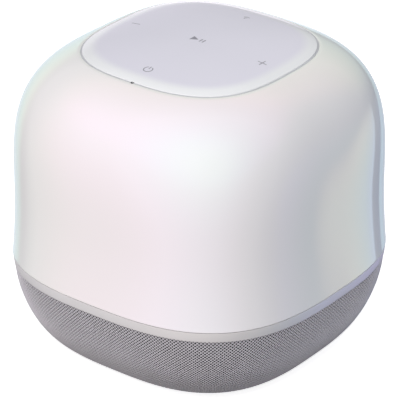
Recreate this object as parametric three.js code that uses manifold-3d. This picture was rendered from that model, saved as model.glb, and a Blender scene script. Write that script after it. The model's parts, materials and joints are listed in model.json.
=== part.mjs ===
// A mains-powered smart speaker: a glossy rounded-square dome with a touch panel on top, a silver trim
// ring and a cloth-covered basket below. A woofer fires down onto a deflector, and two tweeters fire
// out through the cloth. Millimetres, +Z up, the floor at z = 0. The user faces the -Y side.

import * as THREE from 'three';
import { mergeVertices } from 'three/addons/utils/BufferGeometryUtils.js';
import Module from 'manifold-3d';

const wasm = await Module();
wasm.setup();

// ---------------------------------------------------------------- driving dimensions

const bodyWidth = 160; // across the trim ring, the widest place
const bodyHeight = 150;
const squareness = 2.85; // exponent of the rounded-square plan: 2 would be a circle
const clearance = 0.3; // running and assembly gap between two pieces
const overshoot = 1; // how far a cutter runs past a piece, and a joined solid into its neighbour

const shellSides = 32; // facets round a rounded-square piece
const roundSides = 20; // facets round a circular piece
const screwSides = 8;

const trimTop = 45.6;
const trimHeight = 4.7;
const trimTaper = 0.5; // how much the ring's half width shrinks from top to bottom
const trimDepth = 3.6;

const domeWall = 2.6;
const domeCrown = 69.2; // height of the part that rounds over, above the dome's straight side
const domeShoulderIn = 1.6; // how far the side has leaned in by the shoulder
const domeFullness = 3.46; // exponent of the dome's curve: higher is boxier

const panelWidth = 98; // to the middle of the groove
const panelThickness = 2;
const panelGap = 0.6; // from the middle of the groove to either wall
const panelLedge = 5; // how far the dome's ledge reaches under the panel
const ledgeThickness = 1.8;
const sealLap = 4; // how far the seal lies on that ledge, from the middle of the groove
const sealThickness = 0.8;
const sealDrop = 0.5; // how deep the seal lies in the groove
const micRadius = 0.8;
const micBody = [5, 4, 1.5];

const clothBottom = 2; // height of the cloth's lower edge
const clothThickness = 1;
const basketCurveIn = 20.2; // how far the cloth curves in at its foot
const basketFullness = 1.7; // exponent of the basket's curve
const frameWall = 2;
const frameFlange = 4; // how far the frame's foot reaches in, over the base plate's rim
const slotCount = 16;
const slotWidth = 13;
const slotBottom = 9;
const slotRail = 4; // of solid frame above the slots

const plateBottom = 1.4;
const plateRim = 1.6;
const plateThickness = 3.8;
const footHeight = 1.1;
const footInset = 5; // from the base plate's edge to the foot
const footBand = 10;

const baffleThickness = 3.5;
const baffleGap = 0.4; // to the dome's wall, which leans in a little
const gasketThickness = 0.8;
const enclosureWall = 2;
const enclosureBevel = 5;
const enclosureInset = 8; // from the dome's inner wall, room for the shell bosses
const electronicsBay = 38; // from the enclosure's roof to the top of the body

const wooferRadius = 44;
const flangeThickness = 3;
const flangeLip = 4.5;
const surroundWidth = 6.2;
const surroundSkin = 0.6;
const coneDepth = 14;
const coneSkin = 0.8;
const basketDepth = 19.5; // from the flange's back to the woofer's top plate
const basketSkin = 1.6;
const coilRadius = 13.5;
const coilSkin = 0.7;
const coilLength = 17;
const coilGap = 0.6;
const coilLap = 1; // how far the coil stands out below the cone's neck
const coilOpening = 4; // from the coil to the holes in the basket and the magnet
const capLap = 0.8;
const capRise = 4;
const capDrop = 1.2; // of the dust cap below the cone's neck
const surroundLip = 2.5;
const spiderAbove = 2; // of the cone's neck
const spiderWave = 0.5;
const spiderSteps = 6;
const spiderGap = 0.5; // to the basket
const basketWindow = 0.3; // share of the woofer's radius
const topPlateThickness = 4;
const magnetRadius = 33;
const magnetThickness = 12;
const yokeThickness = 4;
const yokeInset = 3; // from the magnet's edge
const neckInset = 2; // of the basket's neck from the magnet's edge
const ventRadius = 4;

const postRadius = 4.5;
const screwRadius = 1.4;
const screwHeadRadius = 3;
const screwHeadHeight = 1.6;
const screwSink = 0.2; // how far the base screws' heads sit inside the plate
const baseScrewLength = 14;
const shellScrewLength = 12;
const bossRadius = 3.2;
const bossHeight = 20;
const bossGap = 0.5; // from the enclosure to a boss

const deflectorRadius = 32;
const deflectorHeight = 13.5;
const deflectorRim = 1;

const portRadius = 7; // the bass port's bore
const portWall = 1.5;
const portLength = 42;
const portFlange = 2.5;
const portFlare = 2; // how much wider the port's mouth is than its bore
const portFlareDepth = 5;
const portSpace = 2; // from the woofer's rim to the port's flange

const tweeterRadius = 12;
const tweeterDepth = 15;
const tweeterHeight = 27; // of its centre above the floor
const tweeterWall = 1.5;
const tweeterDome = 8.5;
const tweeterDomeRise = 2.4;
const tweeterDomeSkin = 0.6;
const tweeterMargin = 1.4; // from the diaphragm to the rim of the housing's mouth
const tweeterFlange = 2;
const tweeterMagnetThickness = 5;
const tweeterLegWidth = 10;
const tweeterLegThickness = 4;

const inletHeight = 29; // of the rear ports' centre above the floor
const bezelWidth = 34;
const bezelHeight = 14;
const bezelThickness = 4;
const bezelCorner = 3;
const bezelReach = 12; // how far the hole for the bezel runs past it on both sides
const jackSize = 11;
const jackDepth = 10.5;
const jackNose = 3.9;
const jackBore = 2.8;
const jackPin = 1;
const jackFloor = 2;
const portSpacing = 9; // of the jack and the button from the middle
const buttonRadius = 2;
const buttonTravel = 0.5;
const buttonFlange = 1.2; // how far the flange that keeps the button in stands out from it
const buttonTailRadius = 1;
const switchDepth = 3.2;
const switchSize = 6;
const portBoardInset = 1; // from the bezel's edge

const boardThickness = 1.6;
const mainBoardLength = 92;
const mainBoardWidth = 84;
const trayThickness = 2;
const trayMargin = 2; // round the main board
const standoffHeight = 6;
const standoffRadius = 3;
const standoffInset = 6; // from the tray's corner
const radioShieldPlace = { x: [-34, -8], y: [-30, -10], height: 3 };
const heatsinkPlace = { x: 8, y: [-28, 0], base: 2, height: 10, fins: 6, pitch: 5, finWidth: 2 };
const capacitorPlace = { x: [-28, -14], y: 24, radius: 5, height: 11 };
const touchBoardInset = 2; // from the dome's ledge
const ribbonThickness = 0.4;
const ribbonWidth = 12;
const ribbonBend = 3;
const ribbonRest = 8; // length of its flat ends
const ribbonEdge = 38; // Y of those ends
const antennaSize = [0.8, 28, 10];
const antennaDrop = 14; // below the enclosure's roof
const leadRadius = 1.5;
const leadStandoff = 6; // from the main board's edge to the woofer's lead
const leadSlack = 0.8; // gap round a lead where it passes through a hole

// ---------------------------------------------------------------- what follows from them

const half = bodyWidth / 2;
const trimBottom = trimTop - trimHeight;
const domeBottom = trimTop + clearance;
const domeShoulderHeight = bodyHeight - domeCrown;
const shoulderHalf = half - domeShoulderIn;
const panelHalf = panelWidth / 2;

const clothTopHalf = half - trimTaper;
const basketFoot = clothTopHalf - basketCurveIn;
const clothTop = trimBottom - clearance;
const frameInset = clothThickness + clearance;
const frameInnerInset = frameInset + frameWall;

const plateHalf = basketFoot - clearance;
const plateTop = plateBottom + plateThickness;

const baffleBottom = trimTop + clearance;
const baffleTop = baffleBottom + baffleThickness;
const domeInnerHalf = half - domeWall;
const enclosureHalf = domeInnerHalf - enclosureInset;
const enclosureTop = bodyHeight - electronicsBay;

const flangeTop = baffleBottom - gasketThickness - 2 * clearance;
const flangeFront = flangeTop - flangeThickness;
const surroundOuter = wooferRadius - flangeLip;
const coneRadius = surroundOuter - surroundWidth;
const topPlateBottom = flangeTop + basketDepth + clearance;
const magnetBottom = topPlateBottom + topPlateThickness + clearance;
const yokeBottom = magnetBottom + magnetThickness + clearance;
const coneRim = flangeFront - coneSkin;
const coneNeck = coneRim + coneDepth;
const coneNeckRadius = coilRadius + clearance;

const postDistance = wooferRadius + 2 * postRadius;
const portOuter = portRadius + portWall;
const portCentre = wooferRadius + clearance + portOuter + portFlange + portSpace;
const diagonal = Math.SQRT1_2;

const trayBottom = enclosureTop + clearance;
const mainBoardBottom = trayBottom + trayThickness + standoffHeight + clearance;
const mainBoardTop = mainBoardBottom + boardThickness;

// ---------------------------------------------------------------- materials

function finish(color, roughness, metalness = 0) {
  return new THREE.MeshStandardMaterial({ color, roughness, metalness });
}

const pearl = finish(0xf1eeec, 0.08);
const panelGloss = finish(0xd3d1de, 0.1);
const silver = finish(0xc8c8cc, 0.4, 0.6);
const greyCloth = finish(0x8b8e93, 0.9);
const blackPlastic = finish(0x232427, 0.5);
const greyPlastic = finish(0x77797d, 0.6);
const softRubber = finish(0x2c2c2e, 0.8);
const sealRubber = finish(0xb9bcc0, 0.7);
const steel = finish(0xb5b7ba, 0.35, 1);
const ferrite = finish(0x35363a, 0.7, 0.2);
const paper = finish(0x3a3a3c, 0.9);
const copper = finish(0xb8733a, 0.4, 1);
const spiderCloth = finish(0xc29a5b, 0.9);
const boardGreen = finish(0x1f5a3c, 0.5);
const ribbonOrange = finish(0xb8792c, 0.5);

// ---------------------------------------------------------------- shape helpers

// Merges shared corners and drops faces that have collapsed to a line.
function welded(geometry) {
  const bare = new THREE.BufferGeometry();
  bare.setAttribute('position', geometry.getAttribute('position'));
  bare.setIndex(geometry.index);
  const merged = mergeVertices(bare, 1e-3);
  const faces = [];
  for (let i = 0; i < merged.index.count; i += 3) {
    const corners = [0, 1, 2].map((step) => merged.index.getX(i + step));
    if (new Set(corners).size === 3) faces.push(...corners);
  }
  merged.setIndex(faces);
  return merged;
}

function solidOf(geometry) {
  const mesh = welded(geometry);
  return new wasm.Manifold(new wasm.Mesh({
    numProp: 3,
    vertProperties: mesh.getAttribute('position').array,
    triVerts: Uint32Array.from(mesh.index.array),
  }));
}

function geometryOf(solid) {
  const mesh = solid.getMesh();
  const geometry = new THREE.BufferGeometry();
  geometry.setAttribute('position', new THREE.BufferAttribute(mesh.vertProperties, 3));
  geometry.setIndex(new THREE.BufferAttribute(mesh.triVerts, 1));
  return geometry;
}

function cut(body, ...tools) {
  return geometryOf(tools.reduce((left, tool) => left.subtract(solidOf(tool)), solidOf(body)));
}

function join(body, ...extras) {
  return geometryOf(extras.reduce((whole, extra) => whole.add(solidOf(extra)), solidOf(body)));
}

// A solid turned about Z. The profile runs up its outer side and back down its inner side.
function turned(profile, sides = roundSides) {
  const points = profile.map(([radius, height]) => new THREE.Vector2(radius, height));
  return welded(new THREE.LatheGeometry(points, sides).rotateX(Math.PI / 2));
}

// The same, with its rings pushed out to the rounded-square plan. Radii become half widths.
function squared(profile) {
  const geometry = turned(profile, shellSides);
  const place = geometry.getAttribute('position');
  for (let i = 0; i < place.count; i += 1) {
    const x = place.getX(i);
    const y = place.getY(i);
    const radius = Math.hypot(x, y);
    if (radius > 0) {
      const reach = planReach(Math.atan2(y, x));
      place.setXY(i, x * reach, y * reach);
    }
  }
  return geometry;
}

// How far the rounded-square plan reaches in a direction, for a half width of 1.
function planReach(angle) {
  const sum = Math.abs(Math.cos(angle)) ** squareness + Math.abs(Math.sin(angle)) ** squareness;
  return sum ** (-1 / squareness);
}

function block([x0, x1], [y0, y1], [z0, z1]) {
  const box = new THREE.BoxGeometry(x1 - x0, y1 - y0, z1 - z0);
  return box.translate((x0 + x1) / 2, (y0 + y1) / 2, (z0 + z1) / 2);
}

function upright(x, y, radius, bottom, top, sides = roundSides) {
  const rod = new THREE.CylinderGeometry(radius, radius, top - bottom, sides);
  return rod.rotateX(Math.PI / 2).translate(x, y, (bottom + top) / 2);
}

function alongY(x, z, radius, near, far, sides = roundSides) {
  const rod = new THREE.CylinderGeometry(radius, radius, far - near, sides);
  return rod.translate(0, (near + far) / 2, 0).translate(x, 0, z);
}

// A rounded rectangle in the XZ plane, extruded from one Y to another.
function roundedPlate(width, height, corner, near, far) {
  const shape = new THREE.Shape();
  const x = width / 2 - corner;
  const z = height / 2 - corner;
  shape.absarc(x, z, corner, 0, Math.PI / 2);
  shape.absarc(-x, z, corner, Math.PI / 2, Math.PI);
  shape.absarc(-x, -z, corner, Math.PI, 1.5 * Math.PI);
  shape.absarc(x, -z, corner, 1.5 * Math.PI, 2 * Math.PI);
  const depth = far - near;
  const plate = new THREE.ExtrudeGeometry(shape, { depth, bevelEnabled: false, curveSegments: 5 });
  return plate.rotateX(Math.PI / 2).translate(0, far, inletHeight);
}

// A round lead that passes through a list of points.
function lead(points) {
  const path = new THREE.CatmullRomCurve3(points.map((point) => new THREE.Vector3(...point)));
  const section = new THREE.Shape();
  section.absarc(0, 0, leadRadius, 0, 2 * Math.PI);
  return new THREE.ExtrudeGeometry(section, {
    steps: 22,
    curveSegments: 4,
    bevelEnabled: false,
    extrudePath: path,
  });
}

// A screw that points up, with its head at the bottom.
function screw(x, y, headBottom, length) {
  const headTop = headBottom + screwHeadHeight;
  return turned([
    [0, headBottom],
    [screwHeadRadius, headBottom],
    [screwHeadRadius, headTop],
    [screwRadius, headTop],
    [screwRadius, headTop + length - screwRadius],
    [0, headTop + length],
  ], screwSides).translate(x, y, 0);
}

// Four places on the diagonals, at a distance from the axis.
function corners(distance) {
  const reach = distance * diagonal;
  return [[reach, reach], [-reach, reach], [-reach, -reach], [reach, -reach]];
}

function steps(count, from, to) {
  return Array.from({ length: count + 1 }, (_, i) => from + ((to - from) * i) / count);
}

// ---------------------------------------------------------------- the dome and the touch panel

// A point on the dome's curve, moved in by a wall. The turn is 0 at the shoulder, a right angle on top.
function domePoint(turn, wall) {
  const power = 2 / domeFullness;
  return [
    (shoulderHalf - wall) * Math.cos(turn) ** power,
    domeShoulderHeight + (bodyHeight - wall - domeShoulderHeight) * Math.sin(turn) ** power,
  ];
}

function domeTurnAtHalf(halfWidth) {
  return Math.acos((halfWidth / shoulderHalf) ** (domeFullness / 2));
}

function domeTurnAtHeight(height, wall) {
  const share = (height - domeShoulderHeight) / (bodyHeight - wall - domeShoulderHeight);
  return Math.asin(share ** (domeFullness / 2));
}

function domeHeightAt(halfWidth) {
  return domePoint(domeTurnAtHalf(halfWidth), 0)[1];
}

const panelEdge = domeHeightAt(panelHalf - panelGap);
const panelBottom = panelEdge - panelThickness;
const ledgeTop = panelBottom - sealThickness - 2 * clearance;
const ledgeBottom = ledgeTop - ledgeThickness;
const ledgeInner = panelHalf - panelLedge;
const micHoleFloor = ledgeBottom - overshoot;
const micHole = upright(0, -panelHalf, micRadius + clearance, micHoleFloor, bodyHeight, screwSides);

function shellBoss([x, y]) {
  const reach = Math.hypot(x, y);
  const wallReach = (domeInnerHalf + domeWall / 3) * planReach(Math.PI / 4);
  const bottom = baffleTop + clearance;
  const boss = upright(0, reach, bossRadius, bottom, bottom + bossHeight, screwSides);
  const rib = block([-bossRadius / 2, bossRadius / 2], [reach, wallReach], [bottom, bottom + bossHeight]);
  const holeTop = bottom + shellScrewLength;
  const hole = upright(0, reach, screwRadius + clearance, bottom - overshoot, holeTop, screwSides);
  return cut(join(boss, rib), hole).rotateZ(Math.atan2(y, x) - Math.PI / 2);
}

const bossDistance = enclosureHalf * planReach(Math.PI / 4) + bossGap + bossRadius;

function domeShell() {
  const openingTurn = domeTurnAtHalf(panelHalf + panelGap);
  const ledgeTurn = domeTurnAtHeight(ledgeBottom, domeWall);
  const shell = squared([
    [half, domeBottom],
    ...steps(7, 0, openingTurn).map((turn) => domePoint(turn, 0)),
    [panelHalf + panelGap, ledgeTop],
    [ledgeInner, ledgeTop],
    [ledgeInner, ledgeBottom],
    ...steps(4, ledgeTurn, 0).map((turn) => domePoint(turn, domeWall)),
    [domeInnerHalf, domeBottom],
    [half, domeBottom],
  ]);
  return cut(join(shell, ...corners(bossDistance).map(shellBoss)), micHole);
}

function topPanel() {
  const edgeTurn = domeTurnAtHalf(panelHalf - panelGap);
  const panel = squared([
    [0, panelBottom],
    [panelHalf - panelGap, panelBottom],
    ...steps(3, edgeTurn, Math.PI / 2).map((turn) => domePoint(turn, 0)),
  ]);
  return cut(panel, micHole);
}

function panelSealRing() {
  const bottom = ledgeTop + clearance;
  const lipHalf = panelGap - clearance;
  const ring = squared([
    [panelHalf - sealLap, bottom],
    [panelHalf + lipHalf, bottom],
    [panelHalf + lipHalf, panelEdge - sealDrop],
    [panelHalf - lipHalf, panelEdge - sealDrop],
    [panelHalf - lipHalf, bottom + sealThickness],
    [panelHalf - sealLap, bottom + sealThickness],
    [panelHalf - sealLap, bottom],
  ]);
  return cut(ring, micHole);
}

function micPort() {
  return upright(0, -panelHalf, micRadius, ledgeBottom, panelEdge - sealDrop, screwSides);
}

function microphone() {
  const top = ledgeBottom - clearance;
  const [width, depth, height] = micBody;
  return block(
    [-width / 2, width / 2],
    [-panelHalf - depth / 2, -panelHalf + depth / 2],
    [top - height, top],
  );
}

// ---------------------------------------------------------------- the ring, the cloth basket and the base

function trimRing() {
  return squared([
    [half - trimDepth, trimBottom],
    [clothTopHalf, trimBottom],
    [half, trimTop],
    [half - trimDepth, trimTop],
    [half - trimDepth, trimBottom],
  ]);
}

// A point on the basket's curve, moved in from the cloth's face. The turn is 0 at the foot.
function basketPoint(turn, inset) {
  const power = 2 / basketFullness;
  const bottom = clothBottom + inset;
  return [
    basketFoot + (clothTopHalf - inset - basketFoot) * Math.sin(turn) ** power,
    bottom + (clothTop - bottom) * (1 - Math.cos(turn) ** power),
  ];
}

function basketHalfAt(height, inset) {
  const bottom = clothBottom + inset;
  const cosine = (1 - (height - bottom) / (clothTop - bottom)) ** (basketFullness / 2);
  return basketFoot + (clothTopHalf - inset - basketFoot) * (1 - cosine ** 2) ** (1 / basketFullness);
}

function basketCurve(inset) {
  return steps(4, 0, Math.PI / 2).map((turn) => basketPoint(turn, inset));
}

const bezelFront = basketHalfAt(inletHeight, 0);
const bezelBack = bezelFront - bezelThickness;

// The hole for the rear bezel, cut through the cloth and the frame alike.
function bezelCutter() {
  const width = bezelWidth + 2 * clearance;
  const height = bezelHeight + 2 * clearance;
  return roundedPlate(width, height, bezelCorner, bezelBack - bezelReach, half + bezelReach);
}

function grilleCloth() {
  const shell = squared([
    ...basketCurve(0),
    ...basketCurve(clothThickness).reverse(),
    [basketFoot, clothBottom],
  ]);
  return cut(shell, bezelCutter());
}

function slotTurn(index) {
  return ((index + 0.5) * 2 * Math.PI) / slotCount;
}

// The slots on both sides of the rear's middle are left out, as the bezel is there.
function clearOfBezel(turn) {
  return Math.abs(turn - Math.PI / 2) > Math.PI / slotCount + 0.01;
}

function soundSlot(turn) {
  const slot = block([half / 2, half], [-slotWidth / 2, slotWidth / 2], [slotBottom, clothTop - slotRail]);
  return slot.rotateZ(turn);
}

function grilleFrame() {
  const inner = basketPoint(0, frameInnerInset)[1];
  const shell = squared([
    [basketFoot - frameFlange, inner - frameWall],
    ...basketCurve(frameInset),
    ...basketCurve(frameInnerInset).reverse(),
    [basketFoot - frameFlange, inner],
    [basketFoot - frameFlange, inner - frameWall],
  ]);
  const slots = steps(slotCount - 1, 0, slotCount - 1).map(slotTurn).filter(clearOfBezel).map(soundSlot);
  return cut(shell, bezelCutter(), ...slots);
}

function basePlate() {
  const plate = squared([
    [0, plateBottom],
    [plateHalf, plateBottom],
    [plateHalf, plateBottom + plateRim],
    [plateHalf - frameFlange, plateBottom + plateRim],
    [plateHalf - frameFlange, plateTop],
    [0, plateTop],
  ]);
  const sinkTop = plateBottom + screwHeadHeight + 2 * clearance;
  const holes = corners(postDistance).flatMap(([x, y]) => [
    upright(x, y, screwHeadRadius + clearance, 0, sinkTop, screwSides),
    upright(x, y, screwRadius + clearance, 0, plateTop + overshoot, screwSides),
  ]);
  return cut(plate, ...holes);
}

function footRing() {
  const outer = plateHalf - footInset;
  return squared([
    [outer - footBand, 0],
    [outer, 0],
    [outer, footHeight],
    [outer - footBand, footHeight],
    [outer - footBand, 0],
  ]);
}

function deflectorCone() {
  const bottom = plateTop + clearance;
  const rise = deflectorHeight - deflectorRim;
  return turned([
    [0, bottom],
    [deflectorRadius, bottom],
    ...steps(5, 1, 0).map((share) => (
      [deflectorRadius * share, bottom + deflectorRim + rise * (1 - share) ** 2]
    )),
  ]);
}

// ---------------------------------------------------------------- the rear ports

function portBezel() {
  const plate = roundedPlate(bezelWidth, bezelHeight, bezelCorner, bezelBack, bezelFront);
  const through = (x, radius) => (
    alongY(x, inletHeight, radius + clearance, bezelBack - overshoot, bezelFront + overshoot)
  );
  return cut(plate, through(-portSpacing, jackNose), through(portSpacing, buttonRadius));
}

const jackFront = bezelBack - clearance;
const jackBack = jackFront - jackDepth;

function dcJack() {
  const reach = jackSize / 2;
  const body = block(
    [-portSpacing - reach, -portSpacing + reach],
    [jackBack, jackFront],
    [inletHeight - reach, inletHeight + reach],
  );
  const mouth = bezelFront - clearance;
  const floor = jackBack + jackFloor;
  const nose = alongY(-portSpacing, inletHeight, jackNose, jackFront - overshoot, mouth);
  const bore = alongY(-portSpacing, inletHeight, jackBore, floor, mouth + overshoot);
  const pin = alongY(-portSpacing, inletHeight, jackPin, floor - overshoot, mouth - 1, screwSides);
  return join(cut(join(body, nose), bore), pin);
}

const switchFront = jackBack + switchDepth;

function setupButton() {
  const flangeFace = bezelBack - clearance;
  const flangeBack = flangeFace - 1;
  const tailEnd = switchFront + buttonTravel + clearance;
  const rod = (radius, near, far) => alongY(portSpacing, inletHeight, radius, near, far, screwSides);
  return join(
    rod(buttonRadius, flangeBack, bezelFront),
    rod(buttonRadius + buttonFlange, flangeBack, flangeFace),
    rod(buttonTailRadius, tailEnd, flangeFace),
  );
}

function setupSwitch() {
  const reach = switchSize / 2;
  return block(
    [portSpacing - reach, portSpacing + reach],
    [jackBack, switchFront],
    [inletHeight - reach, inletHeight + reach],
  );
}

function portBoard() {
  const front = jackBack - clearance;
  const across = bezelWidth / 2 - portBoardInset;
  const up = bezelHeight / 2 - portBoardInset / 2;
  return block([-across, across], [front - boardThickness, front], [inletHeight - up, inletHeight + up]);
}

// ---------------------------------------------------------------- the baffle, the chamber and the port

const powerLeadX = 20;
const powerLeadY = enclosureHalf + leadRadius + 2 * clearance;

function driverBaffle() {
  const rim = domeInnerHalf - baffleGap;
  const plate = squared([
    [0, baffleBottom],
    [rim, baffleBottom],
    [rim, baffleTop],
    [0, baffleTop],
  ]);
  const postBottom = plateTop + clearance;
  const postTop = baffleBottom + overshoot;
  const posts = corners(postDistance).map(([x, y]) => upright(x, y, postRadius, postBottom, postTop));
  const through = (x, y, radius) => upright(x, y, radius, baffleBottom - overshoot, baffleTop + overshoot);
  const wooferHole = through(0, 0, wooferRadius - flangeLip / 2);
  const portHole = through(0, portCentre, portOuter + clearance);
  const leadHole = through(powerLeadX, powerLeadY, leadRadius + leadSlack);
  const shellHoles = corners(bossDistance).map(([x, y]) => through(x, y, screwRadius + clearance));
  const boreTop = postBottom + baseScrewLength;
  const postBores = corners(postDistance).map(([x, y]) => (
    upright(x, y, screwRadius + clearance, postBottom - overshoot, boreTop, screwSides)
  ));
  return cut(join(plate, ...posts), wooferHole, portHole, leadHole, ...shellHoles, ...postBores);
}

const gasketBottom = baffleTop + clearance;
const enclosureBottom = gasketBottom + gasketThickness + clearance;
const wooferLeadX = -mainBoardLength / 2 - leadStandoff;

function enclosureGasket() {
  const inner = enclosureHalf - enclosureWall;
  const top = gasketBottom + gasketThickness;
  return squared([
    [inner, gasketBottom],
    [enclosureHalf, gasketBottom],
    [enclosureHalf, top],
    [inner, top],
    [inner, gasketBottom],
  ]);
}

function enclosureShell() {
  const inner = enclosureHalf - enclosureWall;
  const shell = squared([
    [0, enclosureTop - enclosureWall],
    [inner - enclosureBevel, enclosureTop - enclosureWall],
    [inner, enclosureTop - enclosureWall - enclosureBevel],
    [inner, enclosureBottom],
    [enclosureHalf, enclosureBottom],
    [enclosureHalf, enclosureTop - enclosureBevel],
    [enclosureHalf - enclosureBevel, enclosureTop],
    [0, enclosureTop],
  ]);
  const under = enclosureTop - enclosureWall - overshoot;
  return cut(shell, upright(wooferLeadX, 0, leadRadius + leadSlack, under, enclosureTop + overshoot));
}

function bassPort() {
  const flangeBottom = baffleBottom - clearance - portWall;
  const flange = portOuter + portFlange;
  const top = flangeBottom + portLength;
  return turned([
    [portRadius + portFlare, flangeBottom],
    [flange, flangeBottom],
    [flange, flangeBottom + portWall],
    [portOuter, flangeBottom + portWall],
    [portOuter, top],
    [portRadius, top],
    [portRadius, flangeBottom + portFlareDepth],
    [portRadius + portFlare, flangeBottom],
  ]).translate(0, portCentre, 0);
}

// ---------------------------------------------------------------- the woofer, which faces down

function wooferGasket() {
  const bottom = flangeTop + clearance;
  return turned([
    [wooferRadius - flangeLip / 2, bottom],
    [wooferRadius, bottom],
    [wooferRadius, bottom + gasketThickness],
    [wooferRadius - flangeLip / 2, bottom + gasketThickness],
    [wooferRadius - flangeLip / 2, bottom],
  ]);
}

const basketTop = flangeTop + basketDepth;
const basketNeck = magnetRadius - neckInset;

function wooferBasket() {
  const basket = turned([
    [surroundOuter, flangeFront],
    [wooferRadius, flangeFront],
    [wooferRadius, flangeTop],
    [surroundOuter + basketSkin, flangeTop],
    [basketNeck, basketTop - basketSkin],
    [basketNeck, basketTop],
    [coilRadius + coilOpening, basketTop],
    [coilRadius + coilOpening, basketTop - basketSkin],
    [basketNeck - basketSkin, basketTop - basketSkin],
    [surroundOuter, flangeTop],
    [surroundOuter, flangeFront],
  ]);
  const window = [flangeTop + basketSkin, basketTop - 2 * basketSkin];
  const reach = wooferRadius + overshoot;
  const across = wooferRadius * basketWindow;
  return cut(
    basket,
    block([-reach, reach], [-across, across], window),
    block([-across, across], [-reach, reach], window),
  );
}

function wooferTopPlate() {
  const bore = coilRadius + coilGap;
  const top = topPlateBottom + topPlateThickness;
  return turned([
    [bore, topPlateBottom],
    [basketNeck, topPlateBottom],
    [basketNeck, top],
    [bore, top],
    [bore, topPlateBottom],
  ]);
}

function wooferMagnet() {
  const bore = coilRadius + coilOpening;
  const top = magnetBottom + magnetThickness;
  return turned([
    [bore, magnetBottom],
    [magnetRadius, magnetBottom],
    [magnetRadius, top],
    [bore, top],
    [bore, magnetBottom],
  ]);
}

// The back plate and the pole that reaches down inside the coil, with a vent through both.
function wooferYoke() {
  const pole = coilRadius - coilSkin - coilGap;
  const top = yokeBottom + yokeThickness;
  return turned([
    [ventRadius, topPlateBottom],
    [pole, topPlateBottom],
    [pole, yokeBottom],
    [magnetRadius - yokeInset, yokeBottom],
    [magnetRadius - yokeInset, top],
    [ventRadius, top],
    [ventRadius, topPlateBottom],
  ]);
}

function wooferVoiceCoil() {
  const bottom = coneNeck - coilLap;
  const inner = coilRadius - coilSkin;
  return turned([
    [inner, bottom],
    [coilRadius, bottom],
    [coilRadius, bottom + coilLength],
    [inner, bottom + coilLength],
    [inner, bottom],
  ]);
}

function wooferCone() {
  return turned([
    [coneNeckRadius, coneNeck - coneSkin],
    [coneRadius, coneRim],
    [coneRadius, coneRim + coneSkin],
    [coneNeckRadius, coneNeck + coneSkin / 2],
    [coneNeckRadius, coneNeck - coneSkin],
  ]);
}

function wooferDustCap() {
  const rim = coneNeckRadius + capLap;
  const top = coneNeck - coneSkin - capDrop;
  const face = (share, skin) => [rim * share, top - surroundSkin + skin - capRise * (1 - share ** 2)];
  return turned([
    ...steps(4, 0, 1).map((share) => face(share, 0)),
    ...steps(4, 1, 0).map((share) => face(share, surroundSkin)),
  ]);
}

function wooferSurround() {
  const inner = coneRadius + clearance;
  const lipTop = flangeFront - clearance;
  const radius = (surroundOuter - inner) / 2;
  const middle = inner + radius;
  const lipBottom = lipTop - surroundSkin;
  const roll = (turn, size) => [middle - size * Math.cos(turn), lipBottom - size * Math.sin(turn)];
  return turned([
    ...steps(5, 0, Math.PI).map((turn) => roll(turn, radius)),
    [surroundOuter + surroundLip, lipBottom],
    [surroundOuter + surroundLip, lipTop],
    ...steps(5, Math.PI, 0).map((turn) => roll(turn, radius - surroundSkin)),
    roll(0, radius),
  ]);
}

function wooferSpider() {
  const inner = coneNeckRadius + clearance;
  const height = coneNeck + spiderAbove;
  const top = height + 2 * spiderWave;
  const slope = (surroundOuter - basketNeck + basketSkin) / (basketTop - basketSkin - flangeTop);
  const outer = surroundOuter - slope * (top - flangeTop) - spiderGap;
  const wave = (index, skin) => [
    inner + ((outer - inner) * index) / spiderSteps,
    height + skin + (index % 2 ? spiderWave : -spiderWave),
  ];
  return turned([
    ...steps(spiderSteps, 0, spiderSteps).map((index) => wave(index, 0)),
    ...steps(spiderSteps, spiderSteps, 0).map((index) => wave(index, surroundSkin)),
    wave(0, 0),
  ]);
}

// ---------------------------------------------------------------- the tweeters, which face out along X

const tweeterFront = basketHalfAt(tweeterHeight - tweeterRadius, frameInnerInset) - 1;
const tweeterMouth = tweeterDome + tweeterMargin;
const tweeterBack = -tweeterDepth + tweeterWall + clearance;

// Each tweeter piece is modelled facing +X and mirrored by a half turn for the left side.
function facingOut(geometry, side) {
  geometry.rotateY(Math.PI / 2).translate(tweeterFront, 0, tweeterHeight);
  return side === 'right' ? geometry : geometry.rotateZ(Math.PI);
}

function tweeterHousing(side) {
  const cup = tweeterRadius - tweeterWall;
  const housing = turned([
    [0, -tweeterDepth],
    [cup, -tweeterDepth],
    [cup, -tweeterFlange],
    [tweeterRadius, -tweeterFlange],
    [tweeterRadius, 0],
    [tweeterMouth, 0],
    [cup - tweeterWall, -tweeterFlange],
    [cup - tweeterWall, -tweeterDepth + tweeterWall],
    [0, -tweeterDepth + tweeterWall],
  ]);
  const leg = block(
    [0, tweeterHeight - plateTop - clearance],
    [-tweeterLegWidth / 2, tweeterLegWidth / 2],
    [-tweeterDepth - tweeterLegThickness, -tweeterDepth + tweeterWall / 2],
  );
  return facingOut(join(housing, leg), side);
}

function tweeterMagnet(side) {
  const radius = tweeterRadius - 2 * tweeterWall - clearance;
  return facingOut(upright(0, 0, radius, tweeterBack, tweeterBack + tweeterMagnetThickness), side);
}

function tweeterDiaphragm(side) {
  const rim = tweeterBack + tweeterMagnetThickness + 1;
  const face = (share, skin) => [tweeterDome * share, rim + skin + tweeterDomeRise * (1 - share ** 2)];
  return facingOut(turned([
    ...steps(3, 0, 1).map((share) => face(share, 0)),
    ...steps(3, 1, 0).map((share) => face(share, tweeterDomeSkin)),
  ]), side);
}

// ---------------------------------------------------------------- the electronics

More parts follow.
